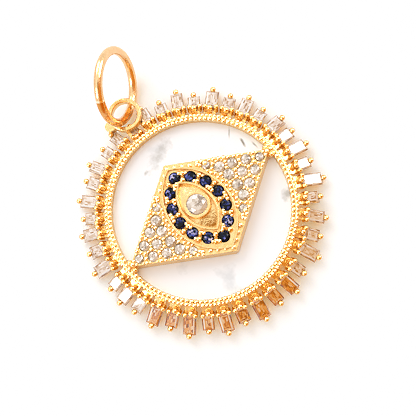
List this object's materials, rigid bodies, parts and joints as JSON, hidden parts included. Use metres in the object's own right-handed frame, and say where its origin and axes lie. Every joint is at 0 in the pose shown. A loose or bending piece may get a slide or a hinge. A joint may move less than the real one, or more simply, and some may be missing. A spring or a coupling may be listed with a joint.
{
  "type": "round evil eye pendant",
  "caption": "Round gold pendant with a halo of step-cut stones, a mother-of-pearl disc, a raised rhombus with a jewelled eye, a fixed loop and a loose ring.",
  "frame": {"origin": "centre of the pendant's flat back", "axes": "+Z out of the face, +Y towards the loop, +X along the plaque"},
  "size_m": [0.0268, 0.0321, 0.0081],
  "materials": {
    "gold": "polished yellow gold",
    "mother_of_pearl": "polished shell",
    "diamond": "cut and polished",
    "diamond_champagne": "step cut and polished",
    "sapphire": "cut and polished"
  },
  "bodies": {
    "root": {"gold_frame": "gold", "pearl_disc": "mother_of_pearl", "jump_ring": "gold", "centre_diamond": "diamond", "sapphires": "sapphire", "pave_left": "diamond", "pave_right": "diamond", "baguette_01": "diamond_champagne", "baguette_02": "diamond_champagne", "baguette_03": "diamond_champagne", "baguette_04": "diamond_champagne", "baguette_05": "diamond_champagne", "baguette_06": "diamond_champagne", "baguette_07": "diamond_champagne", "baguette_08": "diamond_champagne", "baguette_09": "diamond_champagne", "baguette_10": "diamond_champagne", "baguette_11": "diamond_champagne", "baguette_12": "diamond_champagne", "baguette_13": "diamond_champagne", "baguette_14": "diamond_champagne", "baguette_15": "diamond_champagne", "baguette_16": "diamond_champagne", "baguette_17": "diamond_champagne", "baguette_18": "diamond_champagne", "baguette_19": "diamond_champagne", "baguette_20": "diamond_champagne", "baguette_21": "diamond_champagne", "baguette_22": "diamond_champagne", "baguette_23": "diamond_champagne", "baguette_24": "diamond_champagne", "baguette_25": "diamond_champagne", "baguette_26": "diamond_champagne", "baguette_27": "diamond_champagne", "baguette_28": "diamond_champagne", "baguette_29": "diamond_champagne", "baguette_30": "diamond_champagne", "baguette_31": "diamond_champagne", "baguette_32": "diamond_champagne", "baguette_33": "diamond_champagne", "baguette_34": "diamond_champagne", "baguette_35": "diamond_champagne", "baguette_36": "diamond_champagne", "baguette_37": "diamond_champagne", "baguette_38": "diamond_champagne", "baguette_39": "diamond_champagne", "baguette_40": "diamond_champagne"}
  },
  "joints": []
}
